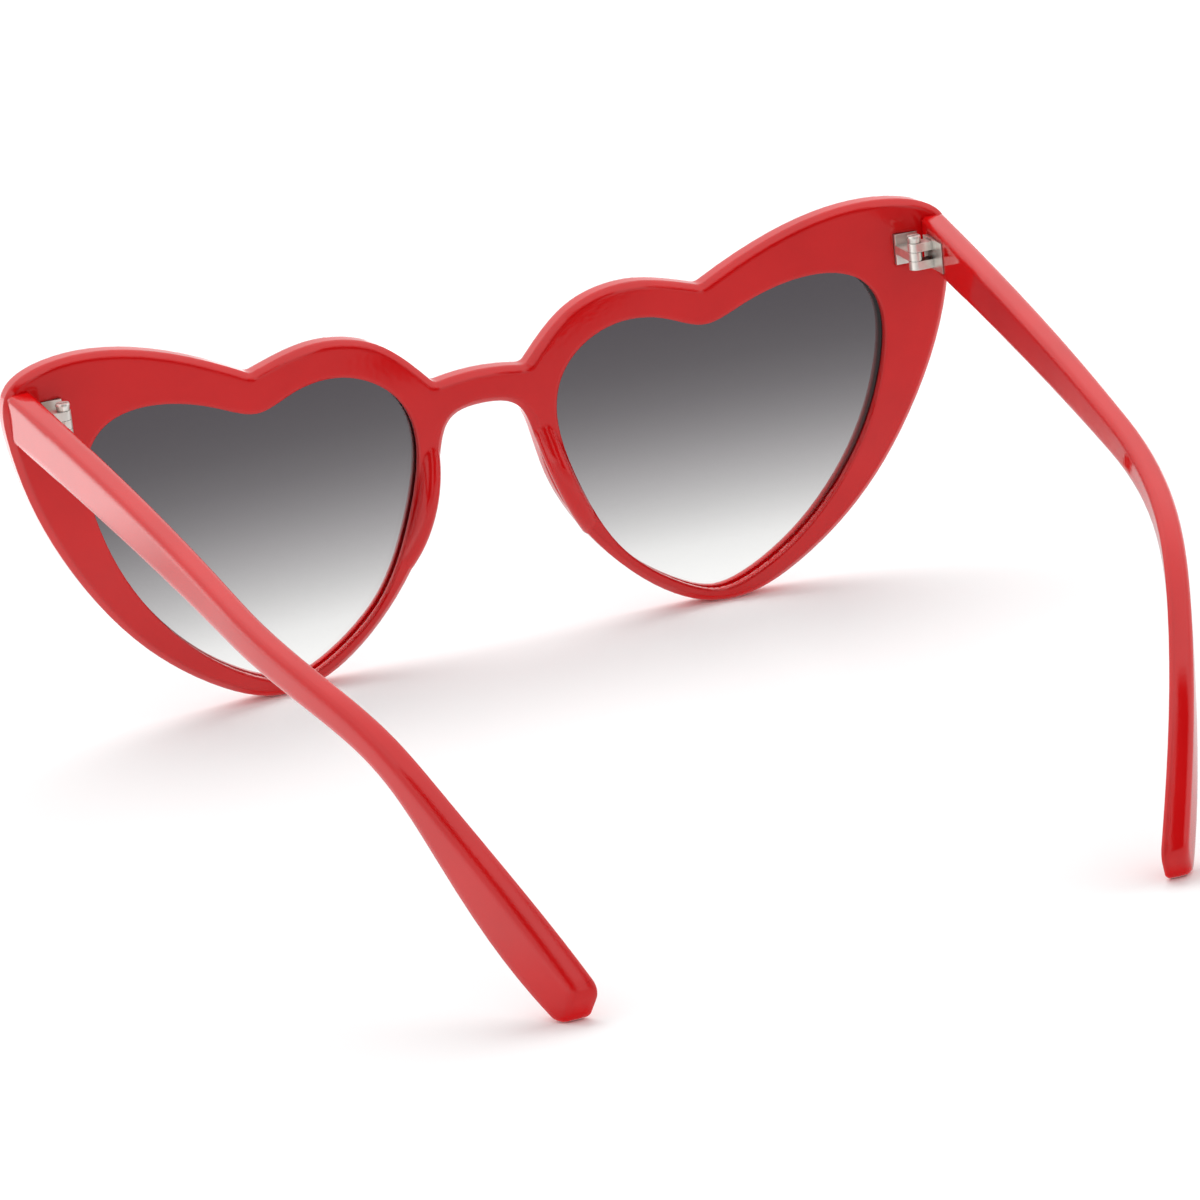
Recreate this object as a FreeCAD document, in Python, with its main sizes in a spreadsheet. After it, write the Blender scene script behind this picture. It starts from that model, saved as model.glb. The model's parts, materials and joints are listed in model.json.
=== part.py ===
"""Heart shaped sunglasses: a moulded front, two lenses, two folding temples and their screw hinges.

The frame is the wearer's: +X to the wearer's left, +Y back along the temples, +Z up. The origin is the nose
saddle, the middle of the bridge's lower edge on the side of the face. Everything is in millimetres. The left
half is drawn, and the pieces of the right half are its mirror images.
"""
import FreeCAD, Part
import math
import os
from types import SimpleNamespace

import Sketcher

SIZES = {
    # Lens openings and bridge
    "lens_width": 51.0,
    "lens_height": 45.8,
    "lens_drop": 35.2,  # from the nose saddle down to the bottom of an opening
    "bridge_gap": 21.4,  # between the two openings, at their nearest
    "bridge_height": 5.2,
    # Widths of the rim round an opening
    "rim_brow": 5.9,
    "rim_side": 5.0,
    "rim_bottom": 2.5,
    "rim_nose": 3.5,
    "corner_reach": 11.1,  # the raised outer corner, out past the opening
    "corner_rise": 9.9,  # and up past it
    # Front sheet
    "front_thickness": 4.2,
    "front_curve": 383.0,  # radius of the back face, seen from above
    "front_bevel": 0.9,
    "notch_round": 1.3,
    # Nose pads
    "pad_radius": 1.6,
    "pad_stand": 2.0,  # how far a pad's crest stands behind the front
    "pad_bow": 18.0,  # radius along which it rises from the front and sinks back
    "pad_lean": 25.0,  # degrees by which the crest leans towards the nose
    "pad_sweep": 60.0,  # degrees of the bow from end to end
    # Lenses
    "lens_thickness": 1.6,
    "lens_inset": 1.3,  # from the back of the front to the back of the lens
    "groove_depth": 0.8,
    "lens_clearance": 0.05,
    # Hinges
    "hinge_inset": 7.5,  # from the outermost corner in to the hinge axis
    "hinge_drop": 7.8,  # from the top of the corner down to the middle of the hinge
    "hinge_setback": 5.3,  # from the back of the front to the hinge axis
    "tab_thickness": 1.3,
    "tab_radius": 1.05,
    "tab_clearance": 0.06,
    "leaf_width": 3.5,  # of the leaf on the front, out from the side of its tab
    "leaf_length": 6.6,  # of the leaf on the temple
    "leaf_lead": 2.2,  # how far that leaf starts in front of the axis
    "leaf_height": 4.6,
    "leaf_thickness": 1.4,
    "leaf_stand": 0.5,  # how far a leaf stands out of the plastic
    "root_depth": 1.2,  # of the anchor behind a leaf
    "root_width": 2.6,
    "socket_clearance": 0.05,
    # Hinge screws
    "screw_radius": 0.6,
    "screw_clearance": 0.03,
    "head_radius": 1.05,
    "head_height": 1.1,
    "slot_width": 0.35,
    "slot_depth": 0.4,
    # Temples
    "temple_offset": 2.85,  # from the hinge axis out to the temple's inner face
    "temple_thickness": 3.7,  # at the hinge
    "tip_thickness": 3.1,  # where the arm curves in, and on to the tip
    "temple_height": 7.1,
    "temple_neck": 4.1,  # height just before the ear bend
    "temple_bevel": 0.5,
    "temple_splay": 4.9,  # degrees by which the straight arm leans in
    "arm_straight": 72.0,  # from the hinge axis to where the arm starts to curve in
    "arm_curve": 112.0,  # radius of that curve, on the inner face
    "arm_length": 102.5,  # from the hinge axis to the ear bend
    "arm_drop": 15.3,  # how far the arm falls on the way
    "tip_run": 28.6,  # from the ear bend to the end of the tip
    "tip_drop": 33.25,  # and down
    "tip_width": 8.6,
    "butt_gap": 0.25,  # between the open temple and the front
}

# The heart of a lens opening as control points, in shares of its width and height, from the cleft round by
# the nose side
HEART = [
    (0.47, 0.87), (0.36, 0.95), (0.20, 0.97), (0.04, 0.87),
    (-0.02, 0.68), (0.06, 0.39), (0.16, 0.16), (0.38, 0.00),
    (0.49, -0.02), (0.72, 0.13), (0.90, 0.38), (0.99, 0.63),
    (1.02, 0.87), (0.93, 1.00), (0.76, 1.01), (0.59, 0.95),
]

# Stations along a temple's arm: share of its length, share of its fall, share of the height lost to the neck
ARM = [(0.34, 0.19, 0.10), (0.735, 0.61, 0.71), (1.00, 1.00, 1.00)]

# Stations down its tip: shares of the run and of the drop, and half the width as shares of the tip's width
TIP = [(0.34, 0.24, 0.015, 0.267), (0.76, 0.73, 0.26, 0.39), (1.00, 1.00, 0.12, 0.30)]

# Places closer than this are the same place
NEAR = 0.01


class Dim:
    """A number together with the formula on the size sheet that gives it."""

    def __init__(self, value, formula):
        self.value = value
        self.formula = formula

    @classmethod
    def of(cls, number):
        return number if isinstance(number, cls) else cls(float(number), repr(float(number)))

    def joined(self, sign, other, value):
        return Dim(value, f"({self.formula} {sign} {other.formula})")

    def __add__(self, other):
        other = Dim.of(other)
        return self.joined("+", other, self.value + other.value)

    def __sub__(self, other):
        other = Dim.of(other)
        return self.joined("-", other, self.value - other.value)

    def __mul__(self, other):
        other = Dim.of(other)
        return self.joined("*", other, self.value * other.value)

    def __truediv__(self, other):
        other = Dim.of(other)
        return self.joined("/", other, self.value / other.value)

    def __radd__(self, other):
        return Dim.of(other) + self

    def __rsub__(self, other):
        return Dim.of(other) - self

    def __rmul__(self, other):
        return Dim.of(other) * self

    def __neg__(self):
        return Dim.of(-1.0) * self


def root(dim):
    return Dim(math.sqrt(dim.value), f"sqrt({dim.formula})")


def cosine(dim):
    return Dim(math.cos(math.radians(dim.value)), f"cos({dim.formula})")


def sine(dim):
    return Dim(math.sin(math.radians(dim.value)), f"sin({dim.formula})")


def arctangent(dim):
    return Dim(math.degrees(math.atan(dim.value)), f"atan({dim.formula})")


def bind(thing, **properties):
    """Tie properties of a feature to the size sheet; a double underscore stands for a dot."""
    for name, dim in properties.items():
        thing.setExpression(name.replace("__", "."), Dim.of(dim).formula)


doc = FreeCAD.newDocument("heart_sunglasses")
sheet = doc.addObject("Spreadsheet::Sheet", "sizes")
for row, (alias, number) in enumerate(SIZES.items(), start=1):
    sheet.set(f"A{row}", alias)
    sheet.set(f"B{row}", str(number))
    sheet.setAlias(f"B{row}", alias)
doc.recompute()
size = SimpleNamespace(**{alias: Dim(number, f"sizes.{alias}") for alias, number in SIZES.items()})


# Places that several pieces share

def back_face(x):
    """How far back the curved back face of the front lies at a distance x from the middle."""
    return size.front_curve - root(size.front_curve * size.front_curve - x * x)


def at(across, up):
    """A place in shares of the left opening's width and height."""
    return lens_inner + across * size.lens_width, lens_bottom + up * size.lens_height


def moved(place, x=0.0, z=0.0):
    return place[0] + x, place[1] + z


lens_inner = size.bridge_gap / 2
lens_outer = lens_inner + size.lens_width
lens_bottom = -size.lens_drop
lens_top = lens_bottom + size.lens_height
corner_x = lens_outer + size.corner_reach
corner_top = lens_top + size.corner_rise

hinge_x = corner_x - size.hinge_inset
hinge_y = back_face(hinge_x) + size.hinge_setback
hinge_z = corner_top - size.hinge_drop
barrel_half = 1.5 * size.tab_thickness + size.tab_clearance
leaf_low = hinge_z - size.leaf_height / 2
leaf_high = hinge_z + size.leaf_height / 2

butt_x = hinge_x + size.temple_offset
tip_y = hinge_y + size.arm_length + size.tip_run
tip_z = hinge_z - size.arm_drop - size.tip_drop


# Sketching helpers

def new_body(name):
    return doc.addObject("PartDesign::Body", name)


def origin_plane(body, role):
    return next(feature for feature in body.Origin.OriginFeatures if feature.Role == role)


def new_sketch(body, name, role, height=None):
    sketch = body.newObject("Sketcher::SketchObject", name)
    sketch.AttachmentSupport = [(origin_plane(body, role), "")]
    sketch.MapMode = "FlatFace"
    if height is not None:
        bind(sketch, AttachmentOffset__Base__z=height)
    return sketch


def vector(place):
    return FreeCAD.Vector(Dim.of(place[0]).value, Dim.of(place[1]).value, 0)


def limit(sketch, kind, *ends, dim):
    number = sketch.addConstraint(Sketcher.Constraint(kind, *ends, dim.value))
    sketch.setExpression(f"Constraints[{number}]", dim.formula)


def pin(sketch, geometry, point, place):
    """Hold a point of the sketch at a place; None leaves that way free."""
    for kind, dim in zip(("DistanceX", "DistanceY"), place):
        if dim is not None:
            limit(sketch, kind, -1, 1, geometry, point, dim=Dim.of(dim))


def line(sketch, start, end):
    geometry = sketch.addGeometry(Part.LineSegment(vector(start), vector(end)))
    pin(sketch, geometry, 1, start)
    pin(sketch, geometry, 2, end)


def polygon(sketch, corners):
    for start, end in zip(corners, corners[1:] + corners[:1]):
        line(sketch, start, end)


def rectangle(sketch, low, high):
    polygon(sketch, [low, (high[0], low[1]), high, (low[0], high[1])])


def circle(sketch, centre, radius):
    geometry = sketch.addGeometry(Part.Circle(vector(centre), FreeCAD.Vector(0, 0, 1), radius.value))
    pin(sketch, geometry, 3, centre)
    limit(sketch, "Radius", geometry, dim=radius)


def arc(sketch, centre, radius, start, end):
    """An anticlockwise arc from start to end, where one way of end follows from the circle and is None."""
    middle = vector(centre)
    turns = []
    for place in (start, end):
        across = None if place[0] is None else (Dim.of(place[0]).value - middle.x) / radius.value
        up = None if place[1] is None else (Dim.of(place[1]).value - middle.y) / radius.value
        if across is None:
            across = math.sqrt(1 - up * up)
        if up is None:
            up = -math.sqrt(1 - across * across)
        turns.append(math.atan2(up, across))
    ring = Part.Circle(middle, FreeCAD.Vector(0, 0, 1), radius.value)
    geometry = sketch.addGeometry(Part.ArcOfCircle(ring, *turns))
    pin(sketch, geometry, 3, centre)
    pin(sketch, geometry, 1, start)
    pin(sketch, geometry, 2, end)


def spline(sketch, points, degree=3, closed=False):
    """A smooth curve drawn by its control points; an open one starts and ends on its first and last."""
    if closed:
        knots = list(range(len(points) + 1))
        repeats = [1] * len(knots)
    else:
        knots = list(range(len(points) - degree + 1))
        repeats = [degree + 1] + [1] * (len(knots) - 2) + [degree + 1]
    curve = Part.BSplineCurve()
    curve.buildFromPolesMultsKnots([vector(point) for point in points], repeats, knots, closed, degree)
    geometry = sketch.addGeometry(curve)
    sketch.exposeInternalGeometry(geometry)
    for step, point in enumerate(points, start=1):
        pin(sketch, geometry + step, 3, point)


def mirrored(points, side):
    return [(side * x, z) for x, z in points]


# Features of a body

def pad(body, sketch, up, down=None):
    feature = body.newObject("PartDesign::Pad", f"{sketch.Name}_pad")
    feature.Profile = sketch
    bind(feature, Length=up)
    if down is not None:
        feature.SideType = "Two sides"
        bind(feature, Length2=down)
    doc.recompute()


def cut_through(body, sketch):
    """Cut a sketch's area out of the whole body, which lies behind the sketch."""
    feature = body.newObject("PartDesign::Pocket", f"{sketch.Name}_cut")
    feature.Profile = sketch
    feature.Type = "ThroughAll"
    doc.recompute()


def add_block(body, name, low, high):
    sketch = new_sketch(body, name, "XY_Plane", low[2])
    rectangle(sketch, low[:2], high[:2])
    pad(body, sketch, high[2] - low[2])


def cut_block(body, name, low, high):
    sketch = new_sketch(body, name, "XY_Plane", high[2])
    rectangle(sketch, low[:2], high[:2])
    feature = body.newObject("PartDesign::Pocket", f"{name}_cut")
    feature.Profile = sketch
    bind(feature, Length=high[2] - low[2])
    doc.recompute()


def dress_edges(body, kind, name, wanted, **amount):
    """Fillet or chamfer each edge of the body so far for which wanted(edge) is true."""
    base = body.Tip
    edges = [f"Edge{number}" for number, edge in enumerate(base.Shape.Edges, start=1) if wanted(edge)]
    feature = body.newObject(f"PartDesign::{kind}", name)
    feature.Base = (base, edges)
    bind(feature, **amount)
    doc.recompute()


def round_edges(body, name, radius, wanted):
    dress_edges(body, "Fillet", name, wanted, Radius=radius)


def bevel_edges(body, name, width, wanted):
    dress_edges(body, "Chamfer", name, wanted, Size=width)


def curved_sheet(body, inset, thickness):
    """A sheet of even thickness, curved like the back of the front and lying inset in front of it."""
    side = corner_x + size.front_thickness
    centre = (0.0, size.front_curve)
    sketch = new_sketch(body, f"{body.Name}_sheet", "XY_Plane")
    depths = []
    for depth in (inset, inset + thickness):
        radius = size.front_curve + depth
        end = size.front_curve - root(radius * radius - side * side)
        arc(sketch, centre, radius, (-side, end), (side, None))
        depths.append(end)
    for way in (-1, 1):
        line(sketch, (way * side, depths[0]), (way * side, depths[1]))
    pad(body, sketch, corner_top + size.front_thickness, size.lens_drop + size.rim_bottom + size.front_thickness)


def front_view(body, name):
    """A sketch that looks at the object from in front of it."""
    return new_sketch(body, name, "XZ_Plane", 2 * size.front_thickness)


def outside_of(body, name):
    """A front view with a rectangle past the whole front, for cutting away what lies outside."""
    sketch = front_view(body, name)
    margin = 2 * size.front_thickness
    low = (-corner_x - margin, lens_bottom - size.rim_bottom - margin)
    high = (corner_x + margin, corner_top + margin)
    rectangle(sketch, low, high)
    return sketch


# The front

def heart(lip=0.0):
    """Control points of the left opening, or of the heart that lies lip further out all round."""
    wide = size.lens_width + 2 * lip
    high = size.lens_height + 2 * lip
    return [(lens_inner - lip + across * wide, lens_bottom - lip + up * high) for across, up in HEART]


def front_moulding():
    body = new_body("front_moulding")
    curved_sheet(body, 0.0, size.front_thickness)

    bridge_end = (0.33 * size.bridge_gap, 0.85 * size.bridge_height)
    cleft = moved(at(0.475, 0.895), z=size.rim_brow)
    # From the bridge over the inner lobe to the cleft
    brow = [
        bridge_end,
        moved(at(-0.01, 0.86), z=0.65 * size.rim_brow),
        moved(at(0.08, 0.92), z=size.rim_brow),
        moved(at(0.27, 0.96), z=size.rim_brow),
        moved(at(0.375, 0.93), z=size.rim_brow),
        cleft,
    ]
    # From the cleft round the raised corner, the side, the bottom and the nose side to the nose saddle
    rim = [
        cleft,
        moved(at(0.60, 0.95), z=0.70 * size.corner_rise),
        moved(at(0.81, 1.00), z=0.93 * size.corner_rise),
        moved(at(1.00, 1.00), 0.22 * size.corner_reach, 1.04 * size.corner_rise),
        moved(at(1.00, 1.00), 1.04 * size.corner_reach, 0.78 * size.corner_rise),
        moved(at(1.00, 1.00), 1.02 * size.corner_reach),
        moved(at(0.99, 0.69), 0.80 * size.corner_reach),
        moved(at(0.90, 0.38), 0.64 * size.rim_side, -0.92 * size.rim_side),
        moved(at(0.715, 0.13), z=-1.68 * size.rim_bottom),
        moved(at(0.49, -0.02), z=-1.10 * size.rim_bottom),
        moved(at(0.28, 0.05), z=-0.90 * size.rim_bottom),
        moved(at(0.15, 0.214), -size.rim_nose),
        moved(at(0.02, 0.472), -size.rim_nose),
        (lens_inner - size.rim_nose, -0.46 * size.bridge_height),
        (0.20 * size.bridge_gap, 0.0),
        (0.0, 0.0),
    ]
    outline = outside_of(body, "front_outline")
    crown = (0.0, 1.12 * size.bridge_height)
    spline(outline, [(-bridge_end[0], bridge_end[1]), crown, bridge_end], degree=2)
    for side in (1, -1):
        spline(outline, mirrored(brow, side))
        spline(outline, mirrored(rim, side))
    cut_through(body, outline)

    def runs_back(edge):
        return edge.BoundBox.XLength < NEAR and edge.BoundBox.ZLength < NEAR

    def is_notch(edge):
        place = (abs(edge.BoundBox.Center.x), edge.BoundBox.Center.z)
        notches = [(x.value, z.value) for x, z in (bridge_end, cleft)]
        return runs_back(edge) and any(math.dist(place, notch) < NEAR for notch in notches)

    def on_face(edge):
        point = edge.valueAt(edge.FirstParameter)
        reach = math.hypot(point.x, point.y - size.front_curve.value) - size.front_curve.value
        faces = (0.0, size.front_thickness.value)
        return not runs_back(edge) and any(abs(reach - face) < NEAR for face in faces)

    round_edges(body, "notches", size.notch_round, is_notch)
    bevel_edges(body, "outer_edges", size.front_bevel, on_face)
    nose_pads(body)
    openings = front_view(body, "openings")
    for side in (1, -1):
        spline(openings, mirrored(heart(), side), closed=True)
    cut_through(body, openings)
    for side in (1, -1):
        for name, low, high in front_leaf_blocks(side, size.socket_clearance):
            cut_block(body, f"{name}_socket", low, high)
    return body


def nose_pads(body):
    """A ridge on each nose side: a circle turned along a bow that rises from the rim and sinks back into it."""
    top = at(-0.051, 0.638)
    bottom = at(0.061, 0.288)
    middle = ((top[0] + bottom[0]) / 2, (top[1] + bottom[1]) / 2)
    sketch = new_sketch(body, "pad_section", "XY_Plane", middle[1])
    sketch.AttachmentOffset.Rotation = FreeCAD.Rotation(FreeCAD.Vector(0, 1, 0), 0)
    bind(
        sketch,
        AttachmentOffset__Base__x=middle[0],
        AttachmentOffset__Base__y=back_face(middle[0]) + size.pad_stand - size.pad_radius,
        AttachmentOffset__Rotation__Angle=arctangent((top[0] - bottom[0]) / (top[1] - bottom[1])),
    )
    upright = cosine(size.pad_lean)
    aslant = sine(size.pad_lean)
    centre = (size.pad_bow * aslant, -size.pad_bow * upright)
    far = (centre[0] + size.pad_bow * upright, centre[1] + size.pad_bow * aslant)
    axis = sketch.addGeometry(Part.LineSegment(vector(centre), vector(far)), True)
    pin(sketch, axis, 1, centre)
    pin(sketch, axis, 2, far)
    circle(sketch, (0.0, 0.0), size.pad_radius)
    turned = body.newObject("PartDesign::Revolution", "nose_pad")
    turned.Profile = sketch
    turned.ReferenceAxis = (sketch, ["Axis0"])
    turned.Midplane = True
    bind(turned, Angle=size.pad_sweep)
    doc.recompute()
    pair = body.newObject("PartDesign::Mirrored", "nose_pad_pair")
    pair.Originals = [turned]
    pair.MirrorPlane = (origin_plane(body, "YZ_Plane"), [""])
    body.Tip = pair
    doc.recompute()


# Lenses

def heart_sheet(name, inset, thickness, lip):
    """A curved sheet cut to the left heart."""
    body = new_body(name)
    curved_sheet(body, inset, thickness)
    outline = outside_of(body, f"{name}_outline")
    spline(outline, heart(lip), closed=True)
    cut_through(body, outline)
    return body


# Temples

def temple_edge(side):
    """Control points of the temple's upper (side 1) or lower (side -1) edge in the side view, from the butt."""
    start = back_face(butt_x) - size.temple_thickness
    rise = size.arm_drop * (hinge_y - start) / size.arm_length
    points = [(start, hinge_z + rise + side * size.temple_height / 2)]
    for along, fall, thinner in ARM:
        half = (size.temple_height - thinner * (size.temple_height - size.temple_neck)) / 2
        points.append((hinge_y + along * size.arm_length, hinge_z - fall * size.arm_drop + side * half))
    for run, drop, half_y, half_z in TIP:
        y = hinge_y + size.arm_length + run * size.tip_run + side * half_y * size.tip_width
        z = hinge_z - size.arm_drop - drop * size.tip_drop + side * half_z * size.tip_width
        points.append((y, z))
    return points


def temple_moulding():
    """A bar that runs straight back and then curves in, cut to the temple's side view."""
    body = new_body("temple_moulding")
    normal = (cosine(size.temple_splay), sine(size.temple_splay))
    slope = normal[1] / normal[0]
    rear = tip_y + size.tip_width / 2 + size.temple_thickness

    blank = new_sketch(body, "temple_blank", "XY_Plane")
    curve_start = (butt_x - size.arm_straight * slope, hinge_y + size.arm_straight)
    centre = (curve_start[0] - size.arm_curve * normal[0], curve_start[1] - size.arm_curve * normal[1])
    fronts = []
    rears = []
    inner = Dim.of(0.0)
    for butt_depth, depth in ((inner, inner), (size.temple_thickness, size.tip_thickness)):
        radius = size.arm_curve + depth
        butt = back_face(butt_x + butt_depth) + size.butt_gap
        front = (butt_x + butt_depth / normal[0] + (hinge_y - butt) * slope, butt)
        turn_in = (curve_start[0] + depth * normal[0], curve_start[1] + depth * normal[1])
        line(blank, front, turn_in)
        arc(blank, centre, radius, turn_in, (None, rear))
        reach = rear - centre[1]
        fronts.append(front)
        rears.append((centre[0] + root(radius * radius - reach * reach), rear))
    line(blank, *fronts)
    line(blank, *rears)
    pad(body, blank, hinge_z + size.temple_height, size.tip_width - tip_z)

    outline = new_sketch(body, "temple_outline", "YZ_Plane", butt_x + 2 * size.temple_thickness)
    upper = temple_edge(1)
    lower = temple_edge(-1)
    low = (upper[0][0] - size.temple_height, tip_z - 2 * size.tip_width)
    high = (rear + size.temple_height, hinge_z + 2 * size.temple_height)
    rectangle(outline, low, high)
    spline(outline, upper)
    spline(outline, lower)
    line(outline, upper[0], lower[0])
    line(outline, upper[-1], lower[-1])
    cut_through(body, outline)

    def runs_across(edge):
        return edge.BoundBox.YLength < NEAR and edge.BoundBox.ZLength < NEAR

    def is_at(edge, corner):
        place = (edge.BoundBox.Center.y, edge.BoundBox.Center.z)
        return runs_across(edge) and math.dist(place, (corner[0].value, corner[1].value)) < NEAR

    def is_long(edge):
        ends = edge.BoundBox
        upright = ends.XLength < NEAR and ends.YLength < NEAR
        return not (upright or runs_across(edge) or ends.YMax < hinge_y.value)

    round_edges(body, "tip_heel", 0.40 * size.tip_width, lambda edge: is_at(edge, upper[-1]))
    round_edges(body, "tip_toe", 0.15 * size.tip_width, lambda edge: is_at(edge, lower[-1]))
    bevel_edges(body, "temple_edges", size.temple_bevel, is_long)
    for name, leaf_corner, far_corner in temple_leaf_blocks(size.socket_clearance):
        cut_block(body, f"{name}_socket", leaf_corner, far_corner)
    return body


# Hinges: each leaf is a plate with a root behind it, sunk in the plastic, and tabs for the screw

def front_leaf_blocks(side, spare=0.0):
    """Plate and root of the leaf on the front, grown by spare all round."""
    middle = side * (hinge_x - size.tab_radius + size.leaf_width / 2)
    plate_back = hinge_y - size.hinge_setback + size.leaf_stand
    plate_front = plate_back - size.leaf_thickness
    half = size.leaf_width / 2 + spare
    root_half = size.root_width / 2 + spare
    plate = (
        f"front_plate_{side + 1}",
        (middle - half, plate_front - spare, leaf_low - spare),
        (middle + half, plate_back + spare, leaf_high + spare),
    )
    anchor = (
        f"front_root_{side + 1}",
        (middle - root_half, plate_front - size.root_depth - spare, hinge_z - root_half),
        (middle + root_half, plate_front, hinge_z + root_half),
    )
    return [plate, anchor]


def temple_leaf_blocks(spare=0.0):
    """Plate and root of the leaf on the left temple, grown by spare all round."""
    plate_inner = butt_x - size.leaf_stand
    plate_outer = plate_inner + size.leaf_thickness
    start = hinge_y - size.leaf_lead
    middle = start + size.leaf_length / 2
    root_half = size.root_width / 2 + spare
    plate = (
        "temple_plate",
        (plate_inner - spare, start - spare, leaf_low - spare),
        (plate_outer + spare, start + size.leaf_length + spare, leaf_high + spare),
    )
    anchor = (
        "temple_root",
        (plate_outer, middle - root_half, hinge_z - root_half),
        (plate_outer + size.root_depth + spare, middle + root_half, hinge_z + root_half),
    )
    return [plate, anchor]


def add_tab(body, name, low, high, bottom):
    """A flat tab from low to high in plan, with a round end on the hinge axis."""
    add_block(body, name, (*low, bottom), (*high, bottom + size.tab_thickness))
    sketch = new_sketch(body, f"{name}_end", "XY_Plane", bottom)
    circle(sketch, (hinge_x, hinge_y), size.tab_radius)
    pad(body, sketch, size.tab_thickness)


def drill_axis(body):
    sketch = new_sketch(body, f"{body.Name}_hole", "XY_Plane", corner_top)
    circle(sketch, (hinge_x, hinge_y), size.screw_radius + size.screw_clearance)
    cut_through(body, sketch)


def front_leaf():
    body = new_body("front_leaf")
    for name, low, high in front_leaf_blocks(1):
        add_block(body, name, low, high)
    plate_back = hinge_y - size.hinge_setback + size.leaf_stand
    low = (hinge_x - size.tab_radius, plate_back)
    high = (hinge_x + size.tab_radius, hinge_y)
    add_tab(body, "middle_tab", low, high, hinge_z - size.tab_thickness / 2)
    drill_axis(body)
    return body


def temple_leaf():
    body = new_body("temple_leaf")
    for name, low, high in temple_leaf_blocks():
        add_block(body, name, low, high)
    low = (hinge_x, hinge_y - size.tab_radius)
    high = (butt_x - size.leaf_stand, hinge_y + size.tab_radius)
    add_tab(body, "upper_tab", low, high, hinge_z + barrel_half - size.tab_thickness)
    add_tab(body, "lower_tab", low, high, hinge_z - barrel_half)
    drill_axis(body)
    return body


def hinge_screw():
    """A slotted screw whose head rests on the upper tab; its body is placed on the hinge axis."""
    body = new_body("hinge_screw")
    profile = new_sketch(body, "screw_profile", "XZ_Plane")
    head_top = barrel_half + size.head_height
    polygon(profile, [
        (0.0, -barrel_half),
        (size.screw_radius, -barrel_half),
        (size.screw_radius, barrel_half),
        (0.85 * size.head_radius, barrel_half),
        (size.head_radius, head_top - 0.25 * size.head_height),
        (0.9 * size.head_radius, head_top),
        (0.0, head_top),
    ])
    turned = body.newObject("PartDesign::Revolution", "screw_turned")
    turned.Profile = profile
    turned.ReferenceAxis = (profile, ["V_Axis"])
    doc.recompute()
    half = size.slot_width / 2
    reach = 2 * size.head_radius
    cut_block(body, "slot", (-reach, -half, head_top - size.slot_depth), (reach, half, head_top))
    bind(body, Placement__Base__x=hinge_x, Placement__Base__y=hinge_y, Placement__Base__z=hinge_z)
    return body


# Assembly

def mirror_image(source):
    image = doc.addObject("Part::Mirroring", f"{source.Name}_image")
    image.Source = source
    image.Normal = (1, 0, 0)
    image.Base = (0, 0, 0)
    return image


def grooved_front(moulding):
    """The front with the groove that holds each lens."""
    room = 2 * size.lens_clearance
    inset = size.lens_inset - size.lens_clearance
    groove = heart_sheet("lens_groove", inset, size.lens_thickness + room, size.groove_depth)
    grooves = doc.addObject("Part::MultiFuse", "lens_grooves")
    grooves.Shapes = [groove, mirror_image(groove)]
    front = doc.addObject("Part::Cut", "grooved_front")
    front.Base = moulding
    front.Tool = grooves
    return front


lip = size.groove_depth - size.lens_clearance
left_pieces = {
    "lens": heart_sheet("lens", size.lens_inset, size.lens_thickness, lip),
    "temple": temple_moulding(),
    "front_hinge": front_leaf(),
    "temple_hinge": temple_leaf(),
    "hinge_screw": hinge_screw(),
}
nodes = {"front_frame": grooved_front(front_moulding())}
for name, piece in left_pieces.items():
    nodes[f"{name}_left"] = piece
    nodes[f"{name}_right"] = mirror_image(piece)
for name, piece in nodes.items():
    piece.Label = name
doc.recompute()

for feature in doc.Objects:
    if "Invalid" in feature.State or "Error" in feature.State:
        raise RuntimeError(f"{feature.Name} failed: {feature.State}")
for name, piece in nodes.items():
    shape = piece.Shape
    if shape.isNull() or not shape.isValid() or len(shape.Solids) != 1:
        raise RuntimeError(f"{name} is not one sound solid")

os.makedirs("parts", exist_ok=True)
for name, piece in nodes.items():
    piece.Shape.exportStep(f"parts/{name}.step")
    print(f"{name}: {piece.Shape.Volume:.1f} mm3")
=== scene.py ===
import json
import math

import bmesh
import bpy
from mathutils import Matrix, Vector


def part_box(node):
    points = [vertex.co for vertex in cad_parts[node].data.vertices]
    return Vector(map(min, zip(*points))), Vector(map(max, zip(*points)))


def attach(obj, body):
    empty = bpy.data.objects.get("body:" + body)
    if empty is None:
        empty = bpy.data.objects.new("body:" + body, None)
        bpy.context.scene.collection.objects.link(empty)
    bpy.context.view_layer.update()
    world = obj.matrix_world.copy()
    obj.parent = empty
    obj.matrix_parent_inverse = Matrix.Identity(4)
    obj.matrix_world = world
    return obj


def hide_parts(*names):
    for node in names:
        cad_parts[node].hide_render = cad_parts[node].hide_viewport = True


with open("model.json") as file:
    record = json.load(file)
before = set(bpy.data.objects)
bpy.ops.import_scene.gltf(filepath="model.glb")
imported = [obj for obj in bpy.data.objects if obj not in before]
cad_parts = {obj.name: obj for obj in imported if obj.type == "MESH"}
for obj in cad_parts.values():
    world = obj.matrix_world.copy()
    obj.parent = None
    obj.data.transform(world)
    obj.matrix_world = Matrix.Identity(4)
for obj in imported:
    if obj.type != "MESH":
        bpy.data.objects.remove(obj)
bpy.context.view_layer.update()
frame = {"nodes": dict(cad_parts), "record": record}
nodes = frame["nodes"]
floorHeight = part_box("front_frame")[0].z
print("stage: frame loaded")


# Node helpers

def newMaterial(name):
    material = bpy.data.materials.new(name)
    material.use_nodes = True
    tree = material.node_tree
    tree.nodes.clear()
    return material, tree


def addNode(tree, kind, **values):
    node = tree.nodes.new(kind)
    for name, value in values.items():
        setattr(node, name, value)
    return node


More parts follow.
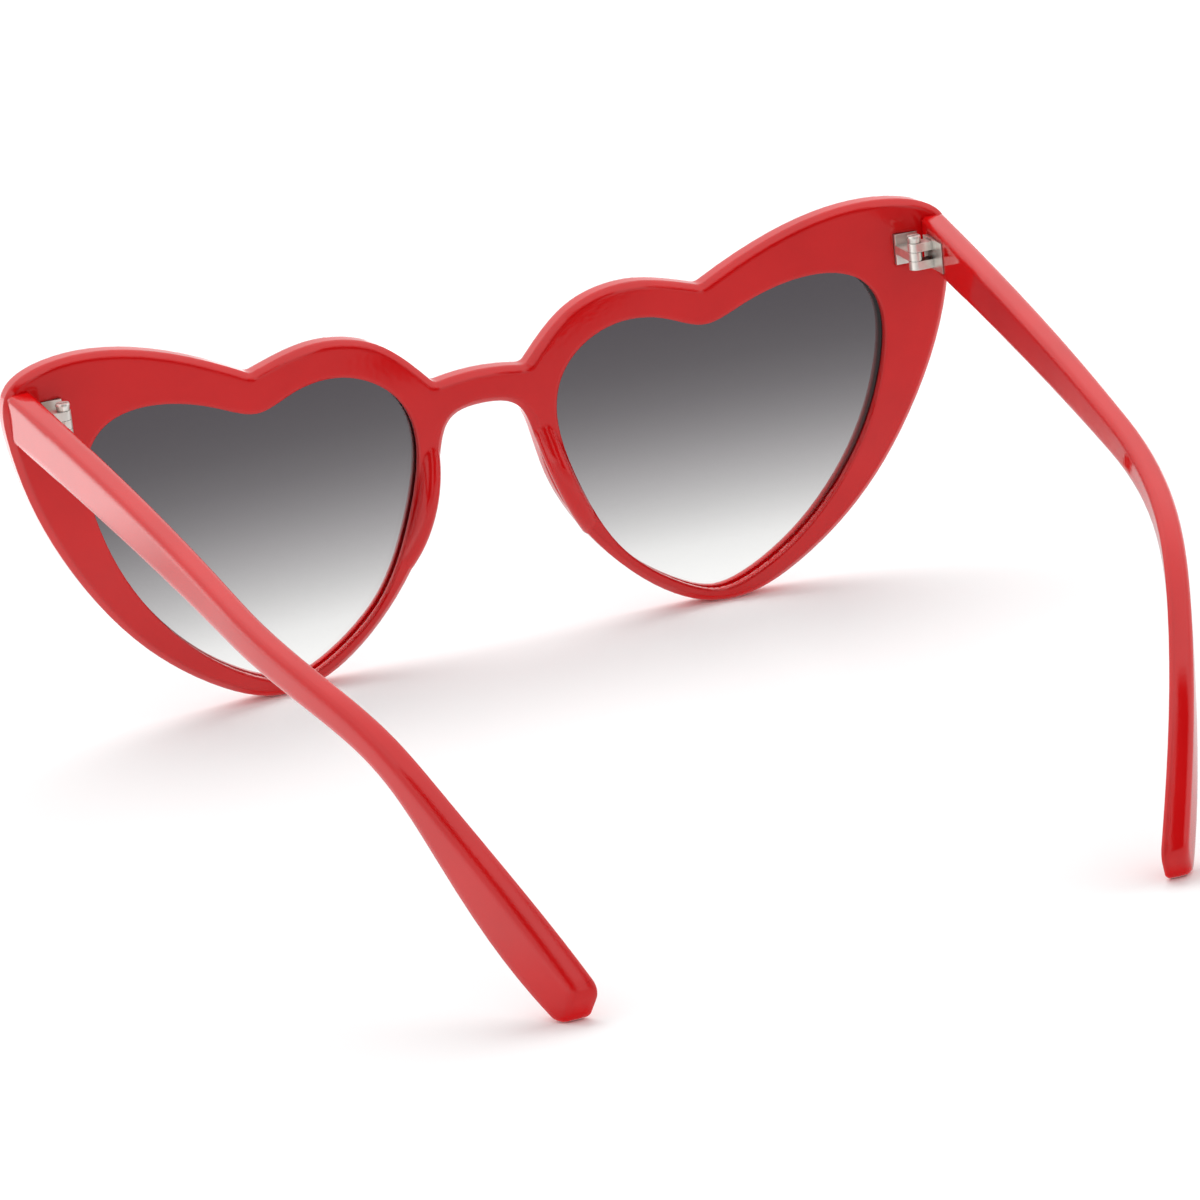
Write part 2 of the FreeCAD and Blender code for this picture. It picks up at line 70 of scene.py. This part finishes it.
def setInputs(node, **values):
    for name, value in values.items():
        node.inputs[name.replace("_", " ")].default_value = value


def feed(tree, value, socket):
    if isinstance(value, bpy.types.NodeSocket):
        tree.links.new(value, socket)
    else:
        socket.default_value = value


def setSurface(tree, surface, kind="ShaderNodeOutputMaterial"):
    output = addNode(tree, kind)
    tree.links.new(surface, output.inputs["Surface"])


def coordinatesOf(tree, kind):
    return addNode(tree, "ShaderNodeTexCoord").outputs[kind]


def axesOf(tree, vector):
    node = addNode(tree, "ShaderNodeSeparateXYZ")
    tree.links.new(vector, node.inputs["Vector"])
    return node.outputs


def noise(tree, scale, detail=2.0, stretch=(1, 1, 1)):
    mapping = addNode(tree, "ShaderNodeMapping")
    setInputs(mapping, Scale=stretch)
    tree.links.new(coordinatesOf(tree, "Object"), mapping.inputs["Vector"])
    texture = addNode(tree, "ShaderNodeTexNoise")
    setInputs(texture, Scale=scale, Detail=detail)
    tree.links.new(mapping.outputs["Vector"], texture.inputs["Vector"])
    return texture.outputs["Fac"]


def ramp(tree, factor, stops, interpolation="LINEAR"):
    node = addNode(tree, "ShaderNodeValToRGB")
    node.color_ramp.interpolation = interpolation
    elements = node.color_ramp.elements
    while len(elements) < len(stops):
        elements.new(0.5)
    for element, (place, color) in zip(elements, stops):
        element.position = place
        element.color = color
    tree.links.new(factor, node.inputs["Fac"])
    return node.outputs["Color"]


def rangeOf(tree, factor, low, high, start=0.0, end=1.0):
    node = addNode(tree, "ShaderNodeMapRange")
    setInputs(node, From_Min=start, From_Max=end, To_Min=low, To_Max=high)
    tree.links.new(factor, node.inputs["Value"])
    return node.outputs["Result"]


def product(tree, first, second):
    node = addNode(tree, "ShaderNodeMath", operation="MULTIPLY")
    tree.links.new(first, node.inputs[0])
    tree.links.new(second, node.inputs[1])
    return node.outputs["Value"]


# Sockets of the Mix node share their names, so they go by place: two inputs and the result of each kind
mixPlaces = {"FLOAT": (2, 3, 0), "RGBA": (6, 7, 2)}


def mixValues(tree, kind, share, first, second):
    node = addNode(tree, "ShaderNodeMix", data_type=kind)
    firstPlace, secondPlace, resultPlace = mixPlaces[kind]
    tree.links.new(share, node.inputs["Factor"])
    feed(tree, first, node.inputs[firstPlace])
    feed(tree, second, node.inputs[secondPlace])
    return node.outputs[resultPlace]


def mixShaders(tree, share, first, second):
    node = addNode(tree, "ShaderNodeMixShader")
    tree.links.new(share, node.inputs["Fac"])
    tree.links.new(first, node.inputs[1])
    tree.links.new(second, node.inputs[2])
    return node.outputs["Shader"]


def gray(level):
    return (level, level, level, 1.0)


# Painted light and shade in corners, which are told from open faces by how much of their surroundings is
# clear

cornerShading = {"samples": 8, "span": (0.2, 0.75)}


def clearnessOf(tree, reach):
    node = addNode(tree, "ShaderNodeAmbientOcclusion", samples=cornerShading["samples"])
    setInputs(node, Distance=reach)
    return node.outputs["AO"]


# Paints the corner colour over the surface's own colour where little of the surroundings is clear: painted
# light or shade in corners
def shadeCorners(tree, color, corner, clearness):
    share = rangeOf(tree, clearness, 0.0, 1.0, *cornerShading["span"])
    return mixValues(tree, "RGBA", share, corner, color)


# Red plastic of the front and the temples

redPlastic = {
    "deep": (0.57, 0.003, 0.004, 1.0),
    "light": (0.63, 0.005, 0.006, 1.0),
    "bend": 1.5,
    "roughness": (0.04, 0.09),
    "cloudScale": 90.0,
    "cloudDetail": 3.0,
    "cloudSpan": (0.3, 0.7),
    "peelScale": 1400.0,
    "peelHeight": 0.000004,
    # The temples have rounder edges than the front, which ends where they begin
    "edgeRadius": (0.0008, 0.0015),
    "edgeSpan": (0.007, 0.016),
    "edgeSamples": 8,
    # Painted light: corners, where little of the surroundings is clear, are painted a stronger red
    "cornerReach": 0.004,
    "corner": (0.80, 0.002, 0.005, 1.0),
    # Painted shade on the reflections: corners, where little of the surroundings is clear, are given less
    # gloss than the open faces
    "gloss": (0.05, 0.5),
    "glossSpan": (0.45, 0.85),
}


def makeRedPlastic():
    material, tree = newMaterial("redPlastic")
    shader = addNode(tree, "ShaderNodeBsdfPrincipled")
    setInputs(shader, IOR=redPlastic["bend"])
    clouds = noise(tree, redPlastic["cloudScale"], redPlastic["cloudDetail"])
    tones = (redPlastic["deep"], redPlastic["light"])
    color = ramp(tree, clouds, list(zip(redPlastic["cloudSpan"], tones)))
    # Painted light and shade: the corners get a stronger red and less gloss, by how much of their
    # surroundings is clear
    clearness = clearnessOf(tree, redPlastic["cornerReach"])
    tree.links.new(shadeCorners(tree, color, redPlastic["corner"], clearness), shader.inputs["Base Color"])
    gloss = rangeOf(tree, clearness, *redPlastic["gloss"], *redPlastic["glossSpan"])
    tree.links.new(gloss, shader.inputs["Specular IOR Level"])
    tree.links.new(rangeOf(tree, clouds, *redPlastic["roughness"]), shader.inputs["Roughness"])
    back = axesOf(tree, coordinatesOf(tree, "Object"))["Y"]
    radius = rangeOf(tree, back, *redPlastic["edgeRadius"], *redPlastic["edgeSpan"])
    edge = addNode(tree, "ShaderNodeBevel", samples=redPlastic["edgeSamples"])
    tree.links.new(radius, edge.inputs["Radius"])
    peel = addNode(tree, "ShaderNodeBump")
    setInputs(peel, Strength=1.0, Distance=redPlastic["peelHeight"])
    tree.links.new(noise(tree, redPlastic["peelScale"]), peel.inputs["Height"])
    tree.links.new(edge.outputs["Normal"], peel.inputs["Normal"])
    tree.links.new(peel.outputs["Normal"], shader.inputs["Normal"])
    setSurface(tree, shader.outputs["BSDF"])
    return material


# Grey tint of the lenses, which fades to clear at the bottom

lensTint = {
    # Share of the light that the lens lets through, by height in the frame
    "stops": [(-0.0345, 0.94), (-0.0284, 0.81), (-0.0244, 0.62), (-0.0205, 0.47), (-0.0166, 0.35),
              (-0.0128, 0.255), (-0.0089, 0.18), (-0.0051, 0.132), (0.0, 0.09), (0.007, 0.066)],
    "lowest": -0.037,
    "highest": 0.013,
    # The grey is a little warm at the bottom and turns to violet near the top
    "hueLow": (1.0, 1.0, 0.985),
    "hueHigh": (1.065, 0.885, 1.05),
    "huePower": 2,
    "bend": 1.5,
    # The rim of the sheet, which faces sideways, lies against the red of the groove
    "rim": (0.55, 0.65),
    "rimColor": (0.75, 0.01, 0.015, 1.0),
    # Each of the two faces takes its half of the tint from a shadow
    "shadowPower": 0.5,
}


def tintStops():
    stops = []
    for height, clear in lensTint["stops"]:
        rise = (height - lensTint["lowest"]) / (lensTint["highest"] - lensTint["lowest"])
        hue = Vector(lensTint["hueLow"]).lerp(Vector(lensTint["hueHigh"]), rise ** lensTint["huePower"])
        stops.append((rise, tuple(clear * tone for tone in hue) + (1.0,)))
    return stops


def makeLensTint():
    material, tree = newMaterial("lensTint")
    height = axesOf(tree, coordinatesOf(tree, "Object"))["Z"]
    rise = rangeOf(tree, height, 0.0, 1.0, lensTint["lowest"], lensTint["highest"])
    tint = ramp(tree, rise, tintStops(), "B_SPLINE")
    shader = addNode(tree, "ShaderNodeBsdfPrincipled")
    setInputs(shader, Roughness=0.0, IOR=lensTint["bend"], Transmission_Weight=1.0)
    tree.links.new(tint, shader.inputs["Base Color"])
    rim = addNode(tree, "ShaderNodeBsdfDiffuse")
    setInputs(rim, Color=lensTint["rimColor"])
    facing = addNode(tree, "ShaderNodeMath", operation="ABSOLUTE")
    tree.links.new(axesOf(tree, coordinatesOf(tree, "Normal"))["Y"], facing.inputs[0])
    onFace = rangeOf(tree, facing.outputs["Value"], 0.0, 1.0, *lensTint["rim"])
    sheet = mixShaders(tree, onFace, rim.outputs["BSDF"], shader.outputs["BSDF"])
    half = addNode(tree, "ShaderNodeGamma")
    setInputs(half, Gamma=lensTint["shadowPower"])
    tree.links.new(tint, half.inputs["Color"])
    shadow = addNode(tree, "ShaderNodeBsdfTransparent")
    tree.links.new(half.outputs["Color"], shadow.inputs["Color"])
    shadowRay = addNode(tree, "ShaderNodeLightPath").outputs["Is Shadow Ray"]
    setSurface(tree, mixShaders(tree, shadowRay, sheet, shadow.outputs["BSDF"]))
    return material


# Nickel of the hinge leaves and screws

nickel = {
    "bright": (0.90, 0.88, 0.83, 1.0),
    "dull": (0.76, 0.73, 0.67, 1.0),
    "metal": 0.85,
    "roughness": (0.30, 0.38),
    # Painted shade: corners within this reach are painted nearly black
    "cornerReach": 0.0022,
    "corner": (0.07, 0.055, 0.045, 1.0),
    "grainScale": 900.0,
    "grainDetail": 4.0,
    "grainStretch": (1.0, 1.0, 0.15),
    "grainSpan": (0.3, 0.65),
    "edgeRadius": 0.00012,
    "edgeSamples": 6,
}


def makeNickel():
    material, tree = newMaterial("nickel")
    shader = addNode(tree, "ShaderNodeBsdfPrincipled")
    setInputs(shader, Metallic=nickel["metal"])
    grain = noise(tree, nickel["grainScale"], nickel["grainDetail"], nickel["grainStretch"])
    tones = (nickel["dull"], nickel["bright"])
    color = ramp(tree, grain, list(zip(nickel["grainSpan"], tones)))
    # Painted shade: the corners are painted dark by how much of their surroundings is clear
    clearness = clearnessOf(tree, nickel["cornerReach"])
    tree.links.new(shadeCorners(tree, color, nickel["corner"], clearness), shader.inputs["Base Color"])
    tree.links.new(rangeOf(tree, grain, *nickel["roughness"]), shader.inputs["Roughness"])
    edge = addNode(tree, "ShaderNodeBevel", samples=nickel["edgeSamples"])
    setInputs(edge, Radius=nickel["edgeRadius"])
    tree.links.new(edge.outputs["Normal"], shader.inputs["Normal"])
    setSurface(tree, shader.outputs["BSDF"])
    return material


slotMaterials = {"red_plastic": makeRedPlastic(), "lens_tint": makeLensTint(), "nickel": makeNickel()}
for subpart in frame["record"]["subparts"]:
    mesh = nodes[subpart["node"]].data
    mesh.materials.clear()
    mesh.materials.append(slotMaterials[subpart["material_slot"]])
print("stage: materials assigned")


# Temples with their long edges and ends rounded

roundedTemple = {
    # The hinge end, in front of this, keeps its edges
    "behind": 0.022,
    "mergeReach": 0.000001,
    # Angles between faces, in degrees: up to the first they are one face, over the second they are an edge
    "flattest": 0.2,
    "sharpest": 25.0,
    "round": 0.0002,
    "segments": 3,
    "profile": 0.5,
    "areaWeight": 100,
}


def isSharp(edge):
    return math.degrees(edge.calc_face_angle()) > roundedTemple["sharpest"]


def isRounded(edge):
    if not edge.is_manifold or not edge.is_convex:
        return False
    return min(vert.co.y for vert in edge.verts) >= roundedTemple["behind"] and isSharp(edge)


def makeRoundedTemple(node, body, name):
    build = bmesh.new()
    build.from_mesh(nodes[node].data)
    bmesh.ops.remove_doubles(build, verts=build.verts, dist=roundedTemple["mergeReach"])
    flattest = math.radians(roundedTemple["flattest"])
    bmesh.ops.dissolve_limit(build, angle_limit=flattest, verts=build.verts, edges=build.edges)
    edges = [edge for edge in build.edges if isRounded(edge)]
    bmesh.ops.bevel(build, geom=edges, offset=roundedTemple["round"], offset_type="OFFSET", affect="EDGES",
                    segments=roundedTemple["segments"], profile=roundedTemple["profile"], material=-1,
                    clamp_overlap=False)
    for face in build.faces:
        face.smooth = True
    for edge in build.edges:
        edge.smooth = edge.is_manifold and not isSharp(edge)
    mesh = bpy.data.meshes.new(name)
    build.to_mesh(mesh)
    build.free()
    mesh.materials.append(slotMaterials["red_plastic"])
    piece = bpy.data.objects.new(name, mesh)
    bpy.context.scene.collection.objects.link(piece)
    weighted = piece.modifiers.new("evenShading", "WEIGHTED_NORMAL")
    weighted.weight = roundedTemple["areaWeight"]
    weighted.keep_sharp = True
    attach(piece, body)
    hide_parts(node)


makeRoundedTemple("temple_left", "left_temple", "roundedTempleLeft")
makeRoundedTemple("temple_right", "right_temple", "roundedTempleRight")
print("stage: temples rounded")


# White floor

floor = {
    "size": 6.0,
    "color": gray(0.92),
    "roughness": 0.8,
    # Light that a reflection meets on the floor, from in front of the object to behind it
    "mirrored": [(-0.10, 1.9), (-0.06, 0.95), (-0.02, 0.85), (0.02, 0.8), (0.07, 0.95),
                 (0.12, 0.75), (0.2, 0.6)],
    # The same beyond the wearer's left side, where the floor is brighter
    "mirroredLeft": [(-0.10, 2.0), (-0.06, 1.0), (-0.02, 1.2), (0.02, 1.4), (0.07, 1.5),
                     (0.12, 1.6), (0.2, 1.2)],
    "leftSide": (0.045, 0.075),
    # Light of the floor as it is seen through a lens
    "throughLens": 1.05,
}


def floorLevel(tree, back, steps):
    start = steps[0][0]
    end = steps[-1][0]
    brightest = max(level for place, level in steps)
    stops = [((place - start) / (end - start), gray(level / brightest)) for place, level in steps]
    shade = ramp(tree, rangeOf(tree, back, 0.0, 1.0, start, end), stops)
    return rangeOf(tree, shade, 0.0, brightest)


def makeFloorPaper():
    material, tree = newMaterial("floorPaper")
    shader = addNode(tree, "ShaderNodeBsdfPrincipled")
    setInputs(shader, Base_Color=floor["color"], Roughness=floor["roughness"], Specular_IOR_Level=0.0)
    place = axesOf(tree, coordinatesOf(tree, "Object"))
    right, left = [floorLevel(tree, place["Y"], floor[name]) for name in ("mirrored", "mirroredLeft")]
    sideShare = rangeOf(tree, place["X"], 0.0, 1.0, *floor["leftSide"])
    glow = addNode(tree, "ShaderNodeEmission")
    tree.links.new(mixValues(tree, "FLOAT", sideShare, right, left), glow.inputs["Strength"])
    behindLens = addNode(tree, "ShaderNodeEmission")
    setInputs(behindLens, Strength=floor["throughLens"])
    path = addNode(tree, "ShaderNodeLightPath").outputs
    reflected = mixShaders(tree, path["Is Glossy Ray"], shader.outputs["BSDF"], glow.outputs["Emission"])
    refracted = mixShaders(tree, path["Is Transmission Ray"], reflected, behindLens.outputs["Emission"])
    setSurface(tree, refracted)
    return material


def makeFloor():
    mesh = bpy.data.meshes.new("floor")
    build = bmesh.new()
    half = floor["size"] / 2
    corners = [(-half, -half), (half, -half), (half, half), (-half, half)]
    build.faces.new([build.verts.new((x, y, floorHeight)) for x, y in corners])
    build.to_mesh(mesh)
    build.free()
    mesh.materials.append(makeFloorPaper())
    plane = bpy.data.objects.new("floor", mesh)
    bpy.context.scene.collection.objects.link(plane)


# Soft lamps

lights = [
    {"name": "topSoftbox", "place": (0.0, -0.35, 0.9), "aim": (0.0, 0.0, 0.0),
     "size": (1.4, 0.7), "power": 6.2},
    {"name": "leftSoftbox", "place": (0.9, -0.25, 0.35), "aim": (0.0, 0.05, 0.0),
     "size": (0.8, 0.9), "power": 1.8},
    {"name": "rightSoftbox", "place": (-0.9, 0.1, 0.45), "aim": (0.0, 0.05, 0.0),
     "size": (0.8, 0.8), "power": 2.6},
]


def turnTowards(place, aim):
    return (Vector(aim) - Vector(place)).to_track_quat("-Z", "Y").to_euler()


def makeLights():
    for light in lights:
        data = bpy.data.lights.new(light["name"], "AREA")
        data.shape = "RECTANGLE"
        data.size, data.size_y = light["size"]
        data.energy = light["power"]
        lamp = bpy.data.objects.new(light["name"], data)
        bpy.context.scene.collection.objects.link(lamp)
        lamp.location = light["place"]
        lamp.rotation_euler = turnTowards(light["place"], light["aim"])
        # Reflections meet the even light of the surroundings in place of the lamps' outlines
        lamp.visible_glossy = False


# Surroundings

world = {
    # Strength that the camera sees, and strength that lights the object
    "seen": 1.0,
    "light": 0.85,
    # Light that a reflection meets at the horizon and overhead
    "mirrored": (1.3, 1.8),
    "overhead": (0.5, 0.7),
    # Dark gaps above the camera, by direction from side to side and from front to back
    "gapShare": 0.04,
    "gapAcross": [(-0.78, 0.0), (-0.74, 1.0), (-0.36, 1.0), (-0.33, 0.0),
                  (-0.12, 0.0), (-0.09, 1.0), (0.47, 1.0), (0.51, 0.0)],
    "gapBack": (0.37, 0.41),
}


def makeWorld():
    surroundings = bpy.data.worlds.new("studio")
    surroundings.use_nodes = True
    tree = surroundings.node_tree
    tree.nodes.clear()
    direction = axesOf(tree, coordinatesOf(tree, "Generated"))
    stops = [((side + 1) / 2, gray(level)) for side, level in world["gapAcross"]]
    across = ramp(tree, rangeOf(tree, direction["X"], 0.0, 1.0, -1.0, 1.0), stops)
    gap = product(tree, across, rangeOf(tree, direction["Y"], 0.0, 1.0, *world["gapBack"]))
    sky = rangeOf(tree, direction["Z"], *world["mirrored"], *world["overhead"])
    mirrored = addNode(tree, "ShaderNodeBackground")
    level = product(tree, sky, rangeOf(tree, gap, 1.0, world["gapShare"]))
    tree.links.new(level, mirrored.inputs["Strength"])
    path = addNode(tree, "ShaderNodeLightPath").outputs
    plain = addNode(tree, "ShaderNodeBackground")
    strength = rangeOf(tree, path["Is Camera Ray"], world["light"], world["seen"])
    tree.links.new(strength, plain.inputs["Strength"])
    backgrounds = (plain.outputs["Background"], mirrored.outputs["Background"])
    surface = mixShaders(tree, path["Is Glossy Ray"], *backgrounds)
    setSurface(tree, surface, "ShaderNodeOutputWorld")
    bpy.context.scene.world = surroundings


# Camera, fitted to the photo

view = {
    "place": (0.24093, 0.76525, 0.23575),
    "aim": (-0.01451, 0.0, -0.0335),
    "roll": -6.039,
    "lens": 171.0,
    "sensor": 36.0,
}


def makeCamera():
    data = bpy.data.cameras.new("camera")
    data.sensor_width = view["sensor"]
    data.lens = view["lens"]
    camera = bpy.data.objects.new("camera", data)
    bpy.context.scene.collection.objects.link(camera)
    camera.location = view["place"]
    camera.rotation_euler = turnTowards(view["place"], view["aim"])
    camera.rotation_euler.rotate_axis("Z", math.radians(view["roll"]))
    bpy.context.scene.camera = camera


makeFloor()
makeLights()
makeWorld()
makeCamera()
bpy.context.scene.view_settings.view_transform = "Standard"
print("stage: floor, light and camera made")
